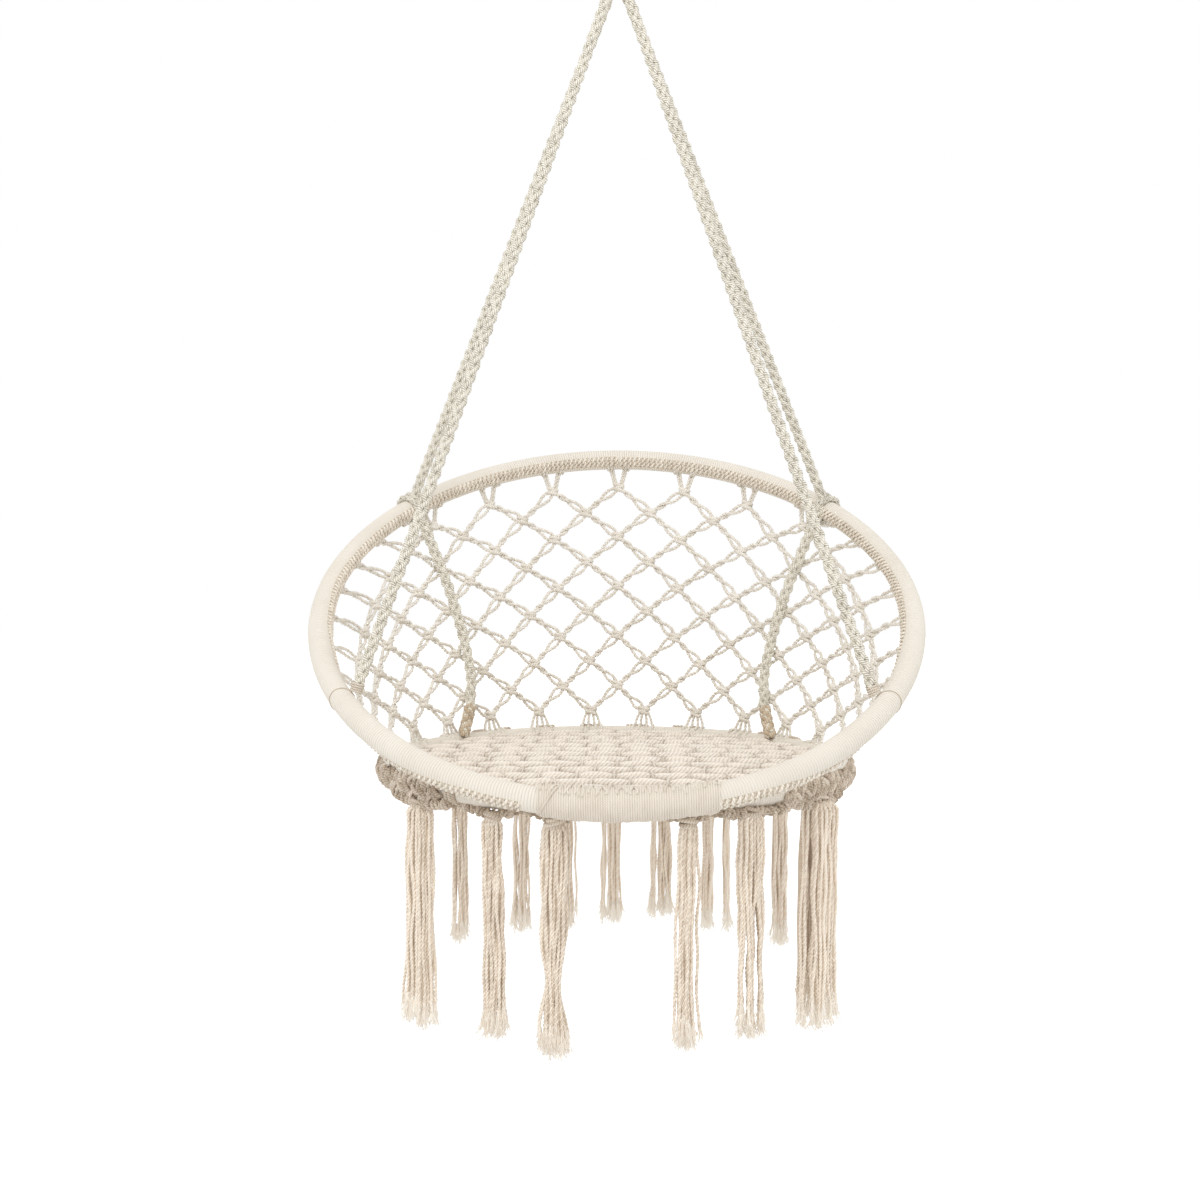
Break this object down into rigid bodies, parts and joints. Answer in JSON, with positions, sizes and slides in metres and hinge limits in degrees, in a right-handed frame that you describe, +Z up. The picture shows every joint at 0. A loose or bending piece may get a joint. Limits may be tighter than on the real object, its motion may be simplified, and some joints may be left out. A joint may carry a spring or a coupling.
{
  "type": "hammock chair",
  "caption": "Hanging hammock chair: two cord-wrapped hoops joined by a knotted diamond net, with a woven seat, tassels and ropes up to a ring and hook.",
  "frame": {"origin": "the inside of the hook's upper bend, where the chair hangs", "axes": "+Z up, -Y to the front, where a sitter's legs come out, and +X to the right of someone who looks at the chair from the front"},
  "size_m": [0.824, 0.7004, 1.5064],
  "materials": {
    "hoop_steel": "satin",
    "hanging_steel": "satin",
    "wrap_cord": "matte",
    "binding_cord": "matte",
    "rope": "matte",
    "net_cord": "matte",
    "seat_cord": "matte",
    "fringe_cord": "matte"
  },
  "bodies": {
    "hook": {"hanging_hook": "hanging_steel"},
    "ring": {"hanging_ring": "hanging_steel"},
    "chair": {"rope_binding": "binding_cord", "hanging_loop": "rope", "front_rope_left": "rope", "front_rope_right": "rope", "rear_rope_left": "rope", "rear_rope_right": "rope", "rear_hitch_left": "rope", "rear_hitch_right": "rope", "rear_rope_tail_left": "rope", "rear_rope_tail_right": "rope", "back_hoop_tube": "hoop_steel", "back_hoop_wrap": "wrap_cord", "front_lashing": "binding_cord", "net_front_left": "net_cord", "net_side_left": "net_cord", "net_rear_left": "net_cord", "net_rear_right": "net_cord", "net_side_right": "net_cord", "net_front_right": "net_cord"},
    "seat": {"seat_hoop_tube": "hoop_steel", "seat_hoop_wrap": "wrap_cord", "seat_weave": "seat_cord", "fringe_cord_01": "fringe_cord", "fringe_cord_02": "fringe_cord", "fringe_cord_03": "fringe_cord", "fringe_cord_04": "fringe_cord", "fringe_cord_05": "fringe_cord", "fringe_cord_06": "fringe_cord", "fringe_cord_07": "fringe_cord", "fringe_cord_08": "fringe_cord", "fringe_cord_09": "fringe_cord", "fringe_cord_10": "fringe_cord", "fringe_cord_11": "fringe_cord", "fringe_cord_12": "fringe_cord", "fringe_cord_13": "fringe_cord", "tassel_01": "fringe_cord", "tassel_02": "fringe_cord", "tassel_03": "fringe_cord", "tassel_04": "fringe_cord", "tassel_05": "fringe_cord", "tassel_06": "fringe_cord", "tassel_07": "fringe_cord", "tassel_08": "fringe_cord", "tassel_09": "fringe_cord", "tassel_10": "fringe_cord", "tassel_11": "fringe_cord", "tassel_12": "fringe_cord", "tassel_13": "fringe_cord"}
  },
  "joints": [
    {"name": "swing_fore_aft", "type": "hinge", "parent": "hook", "child": "ring", "pos_m": [0, 0, -0.0595], "axis": [1, 0, 0], "range_deg": [-30, 30]},
    {"name": "swing_sideways", "type": "hinge", "parent": "ring", "child": "chair", "pos_m": [0, 0, -0.0987], "axis": [0, 1, 0], "range_deg": [-20, 20]},
    {"name": "hoop_fold", "type": "hinge", "parent": "chair", "child": "seat", "pos_m": [0, -0.3255, -1.2107], "axis": [1, 0, 0], "range_deg": [0, 30], "deforming": ["net_front_left", "net_side_left", "net_rear_left", "net_rear_right", "net_side_right", "net_front_right", "rear_rope_tail_left", "rear_rope_tail_right", "front_lashing"]}
  ]
}
